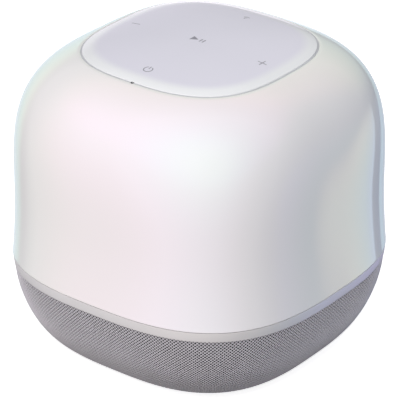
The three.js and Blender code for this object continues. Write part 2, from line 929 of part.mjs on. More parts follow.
function electronicsTray() {
  const x = mainBoardLength / 2 + trayMargin;
  const y = mainBoardWidth / 2 + trayMargin;
  const plate = block([-x, x], [-y, y], [trayBottom, trayBottom + trayThickness]);
  const top = mainBoardBottom - clearance;
  const standoff = (side, end) => upright(
    side * (x - standoffInset),
    end * (y - standoffInset),
    standoffRadius,
    trayBottom + overshoot,
    top,
    screwSides,
  );
  return join(plate, standoff(1, 1), standoff(-1, 1), standoff(-1, -1), standoff(1, -1));
}

function mainBoard() {
  return block(
    [-mainBoardLength / 2, mainBoardLength / 2],
    [-mainBoardWidth / 2, mainBoardWidth / 2],
    [mainBoardBottom, mainBoardTop],
  );
}

function onBoard(x, y, height) {
  const bottom = mainBoardTop + clearance;
  return block(x, y, [bottom, bottom + height]);
}

function radioShield() {
  const { x, y, height } = radioShieldPlace;
  return onBoard(x, y, height);
}

// A block of fins across the amplifier chip.
function amplifierHeatsink() {
  const { x, y, base, height, fins, pitch, finWidth } = heatsinkPlace;
  const last = fins - 1;
  const starts = steps(last, x, x + last * pitch);
  return join(
    onBoard([x, x + last * pitch + finWidth], y, base),
    ...starts.map((start) => onBoard([start, start + finWidth], y, height)),
  );
}

function filterCapacitor(x) {
  const bottom = mainBoardTop + clearance;
  const { y, radius, height } = capacitorPlace;
  return upright(x, y, radius, bottom, bottom + height);
}

function touchBoard() {
  const top = panelBottom - clearance;
  const reach = ledgeInner - touchBoardInset;
  return squared([
    [0, top - boardThickness],
    [reach, top - boardThickness],
    [reach, top],
    [0, top],
  ]);
}

// A flat cable that bends from the main board's edge up to the touch board.
function touchRibbon() {
  const bottom = mainBoardTop + clearance;
  const top = panelBottom - boardThickness - 2 * clearance;
  const lower = bottom + ribbonBend;
  const upper = top - ribbonBend;
  const inner = ribbonBend - ribbonThickness;
  const shape = new THREE.Shape();
  shape.moveTo(0, bottom);
  shape.lineTo(ribbonRest, bottom);
  shape.absarc(ribbonRest, lower, ribbonBend, -Math.PI / 2, 0);
  shape.absarc(ribbonRest, upper, ribbonBend, 0, Math.PI / 2);
  shape.lineTo(0, top);
  shape.lineTo(0, top - ribbonThickness);
  shape.absarc(ribbonRest, upper, inner, Math.PI / 2, 0, true);
  shape.absarc(ribbonRest, lower, inner, 0, -Math.PI / 2, true);
  shape.lineTo(0, bottom + ribbonThickness);
  const extent = { depth: ribbonWidth, bevelEnabled: false, curveSegments: 4 };
  const ribbon = new THREE.ExtrudeGeometry(shape, extent);
  return ribbon.rotateX(Math.PI / 2).translate(-ribbonWidth / 2, ribbonEdge, 0);
}

function antenna(side) {
  const [thickness, length, height] = antennaSize;
  const near = enclosureHalf + clearance;
  const far = near + thickness;
  const top = enclosureTop - antennaDrop;
  const span = side === 'right' ? [near, far] : [-far, -near];
  return block(span, [-length / 2, length / 2], [top - height, top]);
}

// The power lead climbs from the port board between the chamber and the dome to the main board.
function powerLead() {
  const startY = jackBack - boardThickness - leadRadius - 2 * clearance;
  const boardEdge = mainBoardWidth / 2;
  const boardRest = mainBoardTop + leadRadius + clearance;
  return lead([
    [bezelWidth / 2 - 5, startY, inletHeight],
    [bezelWidth / 2 - 3, startY, inletHeight + bezelHeight / 2 + 1],
    [powerLeadX - 1, (startY + powerLeadY) / 2 + 2, baffleBottom - 5],
    [powerLeadX, powerLeadY, baffleBottom - 1],
    [powerLeadX, powerLeadY, baffleTop + 4],
    [powerLeadX, powerLeadY, (baffleTop + enclosureTop) / 2],
    [powerLeadX, powerLeadY, enclosureTop - 10],
    [powerLeadX, powerLeadY - 4.5, enclosureTop + 1],
    [powerLeadX, boardEdge + 14, mainBoardBottom],
    [powerLeadX, boardEdge + 4, boardRest],
    [powerLeadX, boardEdge - 4, boardRest],
  ]);
}

// The woofer's lead rises from the magnet through the chamber's roof to the main board.
function wooferLead() {
  const height = mainBoardTop + leadRadius + clearance;
  return lead([
    [-magnetRadius - leadRadius - clearance, 0, magnetBottom + 3],
    [wooferLeadX, 0, yokeBottom + 8],
    [wooferLeadX, 0, enclosureTop - 8],
    [wooferLeadX, 0, enclosureTop + 4],
    [wooferLeadX + 2, 0, height + 1],
    [-mainBoardLength / 2 + 5, 0, height],
  ]);
}

// ---------------------------------------------------------------- the assembly

const speaker = new THREE.Group();

function add(name, geometry, material) {
  geometry.computeVertexNormals();
  const mesh = new THREE.Mesh(geometry, material);
  mesh.name = name;
  speaker.add(mesh);
}

add('dome_shell', domeShell(), pearl);
add('top_panel', topPanel(), panelGloss);
add('panel_seal_ring', panelSealRing(), sealRubber);
add('mic_port', micPort(), blackPlastic);
add('microphone', microphone(), steel);
add('trim_ring', trimRing(), silver);
add('grille_cloth', grilleCloth(), greyCloth);
add('grille_frame', grilleFrame(), blackPlastic);
add('base_plate', basePlate(), greyPlastic);
add('foot_ring', footRing(), softRubber);
add('deflector_cone', deflectorCone(), blackPlastic);
corners(postDistance).forEach(([x, y], index) => {
  add(`base_screw_${index + 1}`, screw(x, y, plateBottom + screwSink, baseScrewLength), steel);
});
corners(bossDistance).forEach(([x, y], index) => {
  const headBottom = baffleBottom - clearance - screwHeadHeight;
  add(`shell_screw_${index + 1}`, screw(x, y, headBottom, shellScrewLength), steel);
});

add('port_bezel', portBezel(), blackPlastic);
add('dc_jack', dcJack(), blackPlastic);
add('setup_button', setupButton(), greyPlastic);
add('setup_switch', setupSwitch(), blackPlastic);
add('port_board', portBoard(), boardGreen);

add('driver_baffle', driverBaffle(), blackPlastic);
add('enclosure_gasket', enclosureGasket(), softRubber);
add('enclosure_shell', enclosureShell(), greyPlastic);
add('bass_port', bassPort(), blackPlastic);

add('woofer_gasket', wooferGasket(), softRubber);
add('woofer_basket', wooferBasket(), steel);
add('woofer_surround', wooferSurround(), softRubber);
add('woofer_cone', wooferCone(), paper);
add('woofer_dust_cap', wooferDustCap(), paper);
add('woofer_voice_coil', wooferVoiceCoil(), copper);
add('woofer_spider', wooferSpider(), spiderCloth);
add('woofer_top_plate', wooferTopPlate(), steel);
add('woofer_magnet', wooferMagnet(), ferrite);
add('woofer_yoke', wooferYoke(), steel);

for (const side of ['left', 'right']) {
  add(`tweeter_${side}_housing`, tweeterHousing(side), blackPlastic);
  add(`tweeter_${side}_magnet`, tweeterMagnet(side), ferrite);
  add(`tweeter_${side}_dome`, tweeterDiaphragm(side), spiderCloth);
  add(`antenna_${side}`, antenna(side), boardGreen);
}

add('electronics_tray', electronicsTray(), greyPlastic);
add('main_board', mainBoard(), boardGreen);
add('radio_shield', radioShield(), steel);
add('amplifier_heatsink', amplifierHeatsink(), steel);
capacitorPlace.x.forEach((x, index) => {
  add(`filter_capacitor_${index + 1}`, filterCapacitor(x), blackPlastic);
});
add('touch_board', touchBoard(), boardGreen);
add('touch_ribbon', touchRibbon(), ribbonOrange);
add('power_lead', powerLead(), blackPlastic);
add('woofer_lead', wooferLead(), copper);

export default speaker;
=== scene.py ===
"""The looks of a smart speaker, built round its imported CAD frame. Blender 4.5, metres, +Z up.

A glossy pearl dome with a touch panel on top stands on a silver ring and a basket of woven grey yarn.
The front is -Y. Every place comes from the CAD nodes; the constants here are the finer sizes.
"""

import json
import math
from bisect import bisect_left

import bmesh
import bpy
from mathutils import Matrix, Vector


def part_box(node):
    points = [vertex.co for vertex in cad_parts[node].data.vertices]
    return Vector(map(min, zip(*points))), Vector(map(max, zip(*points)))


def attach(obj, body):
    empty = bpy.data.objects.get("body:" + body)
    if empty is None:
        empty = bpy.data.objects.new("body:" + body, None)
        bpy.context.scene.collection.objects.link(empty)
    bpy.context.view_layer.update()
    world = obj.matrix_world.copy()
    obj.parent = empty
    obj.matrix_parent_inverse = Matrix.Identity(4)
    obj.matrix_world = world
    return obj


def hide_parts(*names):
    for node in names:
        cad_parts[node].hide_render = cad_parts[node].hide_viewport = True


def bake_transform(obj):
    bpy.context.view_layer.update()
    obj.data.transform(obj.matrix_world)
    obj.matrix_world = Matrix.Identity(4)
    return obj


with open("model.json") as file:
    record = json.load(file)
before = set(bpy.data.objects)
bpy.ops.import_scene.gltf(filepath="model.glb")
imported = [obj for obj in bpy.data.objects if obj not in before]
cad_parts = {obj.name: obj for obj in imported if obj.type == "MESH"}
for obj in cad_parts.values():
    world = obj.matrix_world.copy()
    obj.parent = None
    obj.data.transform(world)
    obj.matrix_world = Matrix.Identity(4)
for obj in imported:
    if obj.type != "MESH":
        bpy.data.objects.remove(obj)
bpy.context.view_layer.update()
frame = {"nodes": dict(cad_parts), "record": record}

MM = 0.001

# Camera: the photograph's viewpoint. Angles are in degrees, and the lens and sensor in millimetres.
CAMERA_AZIMUTH = 37.73
CAMERA_ELEVATION = 27.1
CAMERA_DISTANCE = 1.2433
CAMERA_AIM_HEIGHT = 0.0673
CAMERA_LENS = 238
CAMERA_SENSOR = 36

# Studio light. Each lamp is a soft round patch: the azimuth and elevation of its middle, the angle from
# there within which it is full, the angle at which it ends, its strength and its colour.
FLOOR_GLOW = 0.75
FLOOR_REACH = 4
ROOM_STRENGTH = 0.09
ROOM_COLOUR = (0.92, 0.95, 1.05)
LAMPS = {
    "key": (8, 14, 2, 90, 0.98, (0.985, 0.917, 0.898)),
    "top": (30, 66, 50, 75, 0.655, (0.97, 1.0, 1.0)),
    "left": (-58, -25, 8, 30, 0.22, (0.6, 0.95, 1.3)),
    "back_left": (-120, -8, 14, 36, 0.98, (1.0, 0.95, 1.04)),
    "right_back": (134, -24, 8, 32, 0.5, (0.15, 0.75, 1.4)),
    "right_edge": (160, -24, 6, 24, 1.3, (1.12, 0.86, 1.8)),
    "rim": (178, -22, 2, 16, 0.3, (0.85, 0.6, 1.1)),
    "far_back": (206, -24, 22, 24, 0.75, (1.04, 0.96, 1.07)),
    "low_left": (-85, -68, 0, 37, 0.5, (0.95, 1.0, 1.0)),
    "rear": (190, 30, 10, 40, 0.5, (1.0, 0.99, 0.97)),
}
FLAGGED = ("right_back", "right_edge")  # lamps that a flag cuts off at an upright edge
FLAG_AZIMUTH = 168
FLAG_BLUR = 0.03

# The rounded-square plan and the curves of the dome and basket, as in the CAD model.
SQUARENESS = 2.85
DOME_FULLNESS = 3.46
DOME_SHOULDER_HEIGHT = 80.8 * MM
DOME_SHOULDER_IN = 1.6 * MM
DOME_WALL = 2.6 * MM
BASKET_FULLNESS = 1.7
PLAN_SIDES = 256
PLAN_SAMPLES = 1440
BASKET_SAMPLES = 400
AXIS_REACH = 1e-7  # a ring smaller than this is a point on the axis

DOME_EDGE = 0.08 * MM
DOME_LEDGE = 5 * MM  # of the ledge under the panel, from the groove inwards
TRIM_EDGE = 0.08 * MM
TRIM_DEPTH = 3.6 * MM
LIP = 0.25 * MM  # rounding of the lips on both sides of the groove
GROOVE_HALF = 0.35 * MM
PANEL_BORDER = 7 * MM
PANEL_ROLL = 0.9 * MM  # that the border drops on its way to the groove
PANEL_CROWN_POWER = 2.2
PANEL_FIELD = (0.76, 0.75, 0.845)
PANEL_EDGE = (0.85, 0.865, 0.885)

SEAL_DROP = 0.18 * MM  # of the seal's top below the groove's lips
SEAL_GAP = 0.02 * MM
SEAL_FILLET = 0.15 * MM
MIC_RADIUS = 0.8 * MM
MIC_DEPTH = 1.2 * MM
MIC_PROUD = 0.05 * MM
MIC_LIP = 0.12 * MM

INK_REACH = 36.4 * MM  # from the axis to the middle of a touch legend
INK_FORWARD = 1.4 * MM  # of all the legends, from the middle of the panel towards the front
INK_WIDTH = 0.5 * MM
INK_PROUD = 0.02 * MM
INK_DEPTH = 0.12 * MM

BEZEL_CORNER = 3 * MM
BEZEL_GAP = 0.4 * MM  # of cut cloth round the rear bezel
BEZEL_SCRIM_GAP = 1.6 * MM
BEZEL_EDGE = 0.35 * MM
BEZEL_RIM = 1.1 * MM
BEZEL_SINK = 0.5 * MM
PORT_HOLES = {"dc_jack": 4.2 * MM, "setup_button": 2.3 * MM}
PORT_SIDES = 48
FINE_SIDES = 24

YARNS = 300  # in each of the two directions
YARN_CROSSINGS = 27  # times a yarn passes over another, from foot to ring
YARN_STEPS = 4  # samples from one crossing to the next
YARN_WIDTH = 0.48 * MM
YARN_HEIGHT = 0.26 * MM
YARN_LIFT = 0.1 * MM
YARN_INSET = 0.55 * MM  # of the yarns' middle from the cloth's outer face
YARN_BASE = 0.35  # share of a yarn's height that lies under its middle
# the darkest yarn tone: fibre mottle, and painted shade at the foot
YARN_MOTTLE_AND_SHADE_DARK = (0.3, 0.29, 0.31)
YARN_LIGHT = (0.715, 0.695, 0.745)
YARN_PAINTED_SHADE_REACH = 0.6  # how far up the cloth the painted shade at the foot reaches
YARN_MOTTLE = 0.4  # share of the yarn's tone that changes from fibre to fibre
CLOTH_INSET = 0.5 * MM  # at which the lengths up the cloth are measured
SCRIM_FACES = (0.9 * MM, 1.2 * MM)  # insets of the backing's two skins
SCRIM_ROWS = 32


# ---------------------------------------------------------------- camera, lights and floor


def direction(azimuth, elevation):
    """A unit vector from degrees: azimuth 0 is the front, 90 the right side."""
    turn, rise = math.radians(azimuth), math.radians(elevation)
    return Vector((math.sin(turn) * math.cos(rise), -math.cos(turn) * math.cos(rise), math.sin(rise)))


def add_camera():
    data = bpy.data.cameras.new("camera")
    data.lens = CAMERA_LENS
    data.sensor_width = CAMERA_SENSOR
    data.clip_end = 20
    camera = bpy.data.objects.new("camera", data)
    towards = direction(CAMERA_AZIMUTH, CAMERA_ELEVATION)
    camera.location = Vector((0, 0, CAMERA_AIM_HEIGHT)) + CAMERA_DISTANCE * towards
    camera.rotation_euler = towards.to_track_quat("Z", "Y").to_euler()
    bpy.context.scene.collection.objects.link(camera)
    bpy.context.scene.camera = camera


def facing_ramp(nodes, links, place, towards, low, high, interpolation):
    """A ramp from 0 to 1 as the cosine between a ray and a direction goes from low to high."""
    facing = nodes.new("ShaderNodeVectorMath")
    facing.operation = "DOT_PRODUCT"
    facing.inputs[1].default_value = towards
    links.new(place, facing.inputs[0])
    ramp = nodes.new("ShaderNodeMapRange")
    ramp.interpolation_type = interpolation
    ramp.inputs["From Min"].default_value = low
    ramp.inputs["From Max"].default_value = high
    links.new(facing.outputs["Value"], ramp.inputs["Value"])
    return ramp.outputs["Result"]


def lamp_level(nodes, links, place, name):
    """How much of a lamp's full light comes from each direction."""
    azimuth, elevation, inner, outer, _, _ = LAMPS[name]
    ends = math.cos(math.radians(outer)), math.cos(math.radians(inner))
    level = facing_ramp(nodes, links, place, direction(azimuth, elevation), *ends, "SMOOTHERSTEP")
    if name in FLAGGED:
        lit_side = direction(FLAG_AZIMUTH - 90, 0)
        flag = facing_ramp(nodes, links, place, lit_side, 0, FLAG_BLUR, "LINEAR")
        level = math_node(nodes, links, "MULTIPLY", level, flag)
    return level


def add_world():
    """The studio: an even room with soft lamps round it. The camera itself sees a plain white backdrop."""
    world = bpy.data.worlds.new("studio")
    bpy.context.scene.world = world
    world.use_nodes = True
    nodes, links = world.node_tree.nodes, world.node_tree.links
    room = nodes["Background"]
    place = nodes.new("ShaderNodeTexCoord").outputs["Generated"]
    light = None
    for name, (*_, strength, colour) in LAMPS.items():
        total = nodes.new("ShaderNodeVectorMath")
        total.operation = "MULTIPLY_ADD"
        total.inputs[1].default_value = Vector(colour) * strength
        total.inputs[2].default_value = Vector(ROOM_COLOUR) * ROOM_STRENGTH
        links.new(lamp_level(nodes, links, place, name), total.inputs[0])
        if light:
            links.new(light, total.inputs[2])
        light = total.outputs["Vector"]
    links.new(light, room.inputs["Color"])
    backdrop = nodes.new("ShaderNodeBackground")
    backdrop.inputs["Color"].default_value = (1, 1, 1, 1)
    seen = nodes.new("ShaderNodeLightPath").outputs["Is Camera Ray"]
    either = nodes.new("ShaderNodeMixShader")
    links.new(seen, either.inputs[0])
    links.new(room.outputs[0], either.inputs[1])
    links.new(backdrop.outputs[0], either.inputs[2])
    links.new(either.outputs[0], nodes["World Output"].inputs["Surface"])


def add_floor():
    """A pale floor that reflections and soft light pass through, so that the low lamps reach the object."""
    mesh = bpy.data.meshes.new("floor")
    corners = [(x * FLOOR_REACH, y * FLOOR_REACH, 0) for x, y in ((-1, -1), (1, -1), (1, 1), (-1, 1))]
    mesh.from_pydata(corners, [], [(0, 1, 2, 3)])
    floor = bpy.data.objects.new("floor", mesh)
    bpy.context.scene.collection.objects.link(floor)
    mesh.materials.append(floor_material())
    floor.visible_diffuse = False
    floor.visible_glossy = False


# ---------------------------------------------------------------- material helpers


def new_material(name):
    material = bpy.data.materials.new(name)
    material.use_nodes = True
    return material, material.node_tree.nodes, material.node_tree.links


def surface(name, colour, roughness, **sockets):
    """A Principled material with constant sockets, ready for procedural detail."""
    material, nodes, links = new_material(name)
    shader = nodes["Principled BSDF"]
    shader.inputs["Base Color"].default_value = (*colour, 1)
    shader.inputs["Roughness"].default_value = roughness
    for socket, value in sockets.items():
        shader.inputs[socket.replace("_", " ")].default_value = value
    return material, nodes, links, shader


def object_noise(nodes, links, scale, detail=2.0):
    noise = nodes.new("ShaderNodeTexNoise")
    noise.inputs["Scale"].default_value = scale
    noise.inputs["Detail"].default_value = detail
    links.new(nodes.new("ShaderNodeTexCoord").outputs["Object"], noise.inputs["Vector"])
    return noise.outputs["Fac"]


def object_axis(nodes, links, axis):
    axes = nodes.new("ShaderNodeSeparateXYZ")
    links.new(nodes.new("ShaderNodeTexCoord").outputs["Object"], axes.inputs[0])
    return axes.outputs[axis]


def vary_colour(nodes, links, shader, factor, start, end):
    """A base colour that goes from start to end as the factor goes from 0 to 1."""
    ramp = nodes.new("ShaderNodeMix")
    ramp.data_type = "RGBA"
    ramp.inputs["A"].default_value = (*start, 1)
    ramp.inputs["B"].default_value = (*end, 1)
    links.new(factor, ramp.inputs["Factor"])
    links.new(ramp.outputs["Result"], shader.inputs["Base Color"])


def vary_roughness(nodes, links, shader, factor, low, high):
    gloss = nodes.new("ShaderNodeMapRange")
    gloss.inputs["To Min"].default_value = low
    gloss.inputs["To Max"].default_value = high
    links.new(factor, gloss.inputs["Value"])
    links.new(gloss.outputs["Result"], shader.inputs["Roughness"])


def math_node(nodes, links, operation, *values):
    """A math node whose inputs are constants or other nodes' outputs."""
    node = nodes.new("ShaderNodeMath")
    node.operation = operation
    for socket, value in zip(node.inputs, values):
        if isinstance(value, bpy.types.NodeSocket):
            links.new(value, socket)
        else:
            socket.default_value = value
    return node.outputs[0]


def add_bump(nodes, links, shader, factor, height):
    bump = nodes.new("ShaderNodeBump")
    bump.inputs["Distance"].default_value = height
    links.new(factor, bump.inputs["Height"])
    links.new(bump.outputs["Normal"], shader.inputs["Normal"])


def plain_material(name, colour, roughness, grain=900, depth=0.02 * MM, contrast=0.12, **sockets):
    """A moulded, cast or printed surface: faint mottle, uneven gloss and a fine grain."""
    material, nodes, links, shader = surface(name, colour, roughness, **sockets)
    mottle = object_noise(nodes, links, 60)
    dark = tuple(c * (1 - contrast) for c in colour)
    light = tuple(min(1, c * (1 + contrast)) for c in colour)
    vary_colour(nodes, links, shader, mottle, dark, light)
    vary_roughness(nodes, links, shader, mottle, roughness * 0.85, min(1, roughness * 1.15))
    add_bump(nodes, links, shader, object_noise(nodes, links, grain), depth)
    return material


# ---------------------------------------------------------------- materials


def floor_material():
    material, nodes, links, shader = surface("floor_white", (0.9, 0.9, 0.9), 0.9)
    mottle = object_noise(nodes, links, 3)
    vary_colour(nodes, links, shader, mottle, (0.89, 0.89, 0.89), (0.91, 0.91, 0.91))
    shader.inputs["Emission Color"].default_value = (1, 1, 1, 1)
    shader.inputs["Emission Strength"].default_value = FLOOR_GLOW
    return material


def pearl_material():
    """Pearl-white gloss: a thin film, in nanometres, tints the reflections pink, green and lavender."""
    film = {"Thin_Film_Thickness": 556, "Thin_Film_IOR": 1.33}
    material, nodes, links, shader = surface("pearl_white", (0.87, 0.86, 0.87), 0.1, IOR=1.6, **film)
    drift = object_noise(nodes, links, 9, detail=1)
    vary_colour(nodes, links, shader, drift, (0.88, 0.86, 0.865), (0.865, 0.87, 0.885))
    vary_roughness(nodes, links, shader, object_noise(nodes, links, 40), 0.05, 0.08)
    return material


def plan_reach(nodes, links):
    """The half width of the rounded square that passes through the shaded point."""
    powers = []
    for axis in "XY":
        size = math_node(nodes, links, "ABSOLUTE", object_axis(nodes, links, axis))
        powers.append(math_node(nodes, links, "POWER", size, SQUARENESS))
    return math_node(nodes, links, "POWER", math_node(nodes, links, "ADD", *powers), 1 / SQUARENESS)


def panel_material():
    """Lavender gloss that pales into the rolled border."""
    material, nodes, links, shader = surface("panel_lavender", PANEL_FIELD, 0.16, IOR=1.5)
    border = nodes.new("ShaderNodeMapRange")
    border.interpolation_type = "SMOOTHSTEP"
    border.inputs["From Min"].default_value = PANEL_HALF - PANEL_BORDER * 1.15
    border.inputs["From Max"].default_value = PANEL_HALF - PANEL_BORDER * 0.35
    links.new(plan_reach(nodes, links), border.inputs["Value"])
    drift = math_node(nodes, links, "MULTIPLY", object_noise(nodes, links, 25, detail=1), 0.12)
    tint = math_node(nodes, links, "ADD", border.outputs["Result"], drift)
    vary_colour(nodes, links, shader, tint, PANEL_FIELD, PANEL_EDGE)
    vary_roughness(nodes, links, shader, object_noise(nodes, links, 60), 0.13, 0.19)
    return material


def silver_material():
    matt = {"Metallic": 0.12, "Specular_IOR_Level": 0.2}
    return plain_material("silver_paint", (0.71, 0.695, 0.7), 0.5, grain=3000, contrast=0.03, **matt)


def yarn_material():
    """Grey yarn, mottled from fibre to fibre, with painted shade that darkens it towards the foot."""
    material, nodes, links, shader = surface("grey_yarn", YARN_LIGHT, 0.85, Sheen_Weight=0.15)
    # painted shade: a ramp up the cloth's height darkens the yarn towards the foot
    climb = nodes.new("ShaderNodeMapRange")
    climb.interpolation_type = "SMOOTHSTEP"
    climb.inputs["From Min"].default_value = CLOTH_BOTTOM
    climb.inputs["From Max"].default_value = CLOTH_BOTTOM + YARN_PAINTED_SHADE_REACH * (CLOTH_TOP - CLOTH_BOTTOM)
    links.new(object_axis(nodes, links, "Z"), climb.inputs["Value"])
    fibres = object_noise(nodes, links, 1200)
    mottle = math_node(nodes, links, "MULTIPLY_ADD", fibres, YARN_MOTTLE, 1 - YARN_MOTTLE)
    tone = math_node(nodes, links, "MULTIPLY", mottle, climb.outputs["Result"])
    vary_colour(nodes, links, shader, tone, YARN_MOTTLE_AND_SHADE_DARK, YARN_LIGHT)
    return material


def ink_material():
    return plain_material("legend_ink", (0.29, 0.29, 0.33), 0.5, grain=4000)


def fibre_material(name, dark, light):
    """Pressed paper or resin-dipped cloth: a matt felt of short fibres."""
    material, nodes, links, shader = surface(name, dark, 0.9, Sheen_Weight=0.2)
    felt = object_noise(nodes, links, 1400, detail=4)
    vary_colour(nodes, links, shader, felt, dark, light)
    add_bump(nodes, links, shader, felt, 0.05 * MM)
    return material


def board_material():
    """A circuit board: green lacquer over a fine grid of darker and lighter tracks."""
    material, nodes, links, shader = surface("circuit_board", (0.02, 0.12, 0.06), 0.35)
    tracks = nodes.new("ShaderNodeTexBrick")
    tracks.inputs["Scale"].default_value = 180
    tracks.inputs["Mortar Size"].default_value = 0.03
    tracks.inputs["Color1"].default_value = (0.018, 0.11, 0.055, 1)
    tracks.inputs["Color2"].default_value = (0.022, 0.14, 0.07, 1)
    tracks.inputs["Mortar"].default_value = (0.05, 0.22, 0.11, 1)
    links.new(nodes.new("ShaderNodeTexCoord").outputs["Object"], tracks.inputs["Vector"])
    links.new(tracks.outputs["Color"], shader.inputs["Base Color"])
    return material


def scrim_material():
    return plain_material("dark_scrim", (0.03, 0.03, 0.034), 0.9, grain=2500)


# ---------------------------------------------------------------- curves of the body


def plan_table():
    """Points round the unit rounded square, with the share of its length at each."""
    points = []
    for i in range(PLAN_SAMPLES + 1):
        angle = 2 * math.pi * i / PLAN_SAMPLES
        x, y = math.cos(angle), math.sin(angle)
        reach = (abs(x) ** SQUARENESS + abs(y) ** SQUARENESS) ** (-1 / SQUARENESS)
        points.append((x * reach, y * reach))
    shares = [0.0]
    for a, b in zip(points, points[1:]):
        shares.append(shares[-1] + math.dist(a, b))
    return points, [share / shares[-1] for share in shares]


PLAN_POINTS, PLAN_SHARES = plan_table()


def plan_at(share):
    """The point on the unit rounded square that lies a share of the way round it from +X."""
    share %= 1
    after = max(1, bisect_left(PLAN_SHARES, share))
    low, high = PLAN_SHARES[after - 1], PLAN_SHARES[after]
    mix = (share - low) / (high - low)
    (ax, ay), (bx, by) = PLAN_POINTS[after - 1], PLAN_POINTS[after]
    return ax + (bx - ax) * mix, ay + (by - ay) * mix


def plan_normal(x, y):
    power = SQUARENESS - 1
    return Vector((math.copysign(abs(x) ** power, x), math.copysign(abs(y) ** power, y))).normalized()


def node_half(node):
    """Half the width of a CAD node that is centred on the axis."""
    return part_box(node)[1].x


BODY_HALF = node_half("trim_ring")
BODY_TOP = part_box("top_panel")[1].z
TRIM_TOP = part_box("trim_ring")[1].z
TRIM_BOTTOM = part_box("trim_ring")[0].z
DOME_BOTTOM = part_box("dome_shell")[0].z
CLOTH_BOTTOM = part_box("grille_cloth")[0].z
CLOTH_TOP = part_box("grille_cloth")[1].z
CLOTH_TOP_HALF = node_half("grille_cloth")
SHOULDER_HALF = BODY_HALF - DOME_SHOULDER_IN
PANEL_HALF = node_half("panel_seal_ring") - 0.3 * MM  # to the middle of the groove
BASKET_FOOT = node_half("base_plate") + 0.3 * MM
BEZEL_LOW, BEZEL_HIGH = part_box("port_bezel")


def dome_point(turn, wall=0.0):
    """A point of the dome's curve, moved in by a wall: turn 0 is the shoulder, a right angle the top."""
    power = 2 / DOME_FULLNESS
    return (
        (SHOULDER_HALF - wall) * math.cos(turn) ** power,
        DOME_SHOULDER_HEIGHT + (BODY_TOP - wall - DOME_SHOULDER_HEIGHT) * math.sin(turn) ** power,
    )


def wall_point(rise):
    """A point of the dome's side: rise 0 is its bottom edge, and 1 the shoulder, where it stands upright."""
    return (
        SHOULDER_HALF + DOME_SHOULDER_IN * (1 - rise) ** 2,
        DOME_BOTTOM + (DOME_SHOULDER_HEIGHT - DOME_BOTTOM) * rise,
    )


def dome_turn_at(half):
    return math.acos((half / SHOULDER_HALF) ** (DOME_FULLNESS / 2))


def dome_height_at(half):
    return dome_point(dome_turn_at(half))[1]


def dome_inner_turn(height):
    """The turn at which the dome's inner face reaches a height."""
    share = (height - DOME_SHOULDER_HEIGHT) / (BODY_TOP - DOME_WALL - DOME_SHOULDER_HEIGHT)
    return math.asin(share ** (DOME_FULLNESS / 2))


def basket_point(turn, inset):
    """A point of the basket's curve, moved in by an inset: turn 0 is the foot, a right angle the ring."""
    power = 2 / BASKET_FULLNESS
    bottom = CLOTH_BOTTOM + inset
    return (
        BASKET_FOOT + (CLOTH_TOP_HALF - inset - BASKET_FOOT) * math.sin(turn) ** power,
        bottom + (CLOTH_TOP - bottom) * (1 - math.cos(turn) ** power),
    )


def spread(count, start, end):
    """Both ends and the even steps between them: count + 1 numbers."""
    return [start + (end - start) * i / count for i in range(count + 1)]


def filleted(corners, steps=4):
    """A closed outline of (x, z, radius) corners, with each corner rounded to its radius."""
    outline = []
    for i, (x, z, radius) in enumerate(corners):
        here = Vector((x, z))
        if radius == 0:
            outline.append((x, z))
            continue
        before = (Vector(corners[i - 1][:2]) - here).normalized()
        after = (Vector(corners[(i + 1) % len(corners)][:2]) - here).normalized()
        half_angle = before.angle(after) / 2
        reach = radius / math.tan(half_angle)
        centre = here + (before + after).normalized() * (radius / math.sin(half_angle))
        start = here + before * reach - centre
        end = here + after * reach - centre
        sweep = start.angle_signed(end)
        for share in spread(steps, 0, 1):
            turned = Matrix.Rotation(-sweep * share, 2) @ start
            outline.append(tuple(centre + turned))
    return outline


# ---------------------------------------------------------------- mesh helpers


def add_piece(name, bm, material, body="root", smooth=True):
    """Make an object of a finished mesh. It rides on a body, or on none."""
    bmesh.ops.recalc_face_normals(bm, faces=bm.faces)
    mesh = bpy.data.meshes.new(name)
    bm.to_mesh(mesh)
    bm.free()
    mesh.materials.append(material)
    if smooth:
        mesh.shade_smooth()
    piece = bpy.data.objects.new(name, mesh)
    bpy.context.scene.collection.objects.link(piece)
    if body:
        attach(piece, body)
    return piece


def loft(profile, closed=True, sides=PLAN_SIDES):
    """Rings on the rounded-square plan through (half width, height) points, which may end on the axis."""
    bm = bmesh.new()
    plan = [plan_at(i / sides) for i in range(sides)]
    rings = []
    for half, height in profile:
        if half < AXIS_REACH:
            rings.append([bm.verts.new((0, 0, height))])
        else:
            rings.append([bm.verts.new((half * x, half * y, height)) for x, y in plan])
    pairs = list(zip(rings, rings[1:]))
    if closed:
        pairs.append((rings[-1], rings[0]))
    for low, high in pairs:
        bridge(bm, low, high)
    return bm


def bridge(bm, low, high):
    """Faces between two rings, either of which may be a single point."""
    count = max(len(low), len(high))
    if count == 1:
        return
    for i in range(count):
        j = (i + 1) % count
        if len(low) == 1:
            bm.faces.new((low[0], high[j], high[i]))
        elif len(high) == 1:
            bm.faces.new((low[i], low[j], high[0]))
        else:
            bm.faces.new((low[i], low[j], high[j], high[i]))


def lathe(profile, sides=PORT_SIDES, closed=False):
    """Rings round the Z axis through (radius, height) points, closed or from the axis back to the axis."""
    bm = bmesh.new()
    circle = [(math.cos(turn), math.sin(turn)) for turn in spread(sides, 0, 2 * math.pi)[:-1]]
    rings = []
    for radius, height in profile:
        if radius == 0:
            rings.append([bm.verts.new((0, 0, height))])
        else:
            rings.append([bm.verts.new((radius * x, radius * y, height)) for x, y in circle])
    if closed:
        rings.append(rings[0])
    for low, high in zip(rings, rings[1:]):
        bridge(bm, low, high)
    return bm


def face_back(bm, x, z):
    """Turn a lathed shape from +Z to +Y, so that it faces the rear, and centre it on a port."""
    bm.transform(Matrix.Translation((x, 0, z)) @ Matrix.Rotation(-math.pi / 2, 4, "X"))
    return bm


# ---------------------------------------------------------------- dome, panel and ring


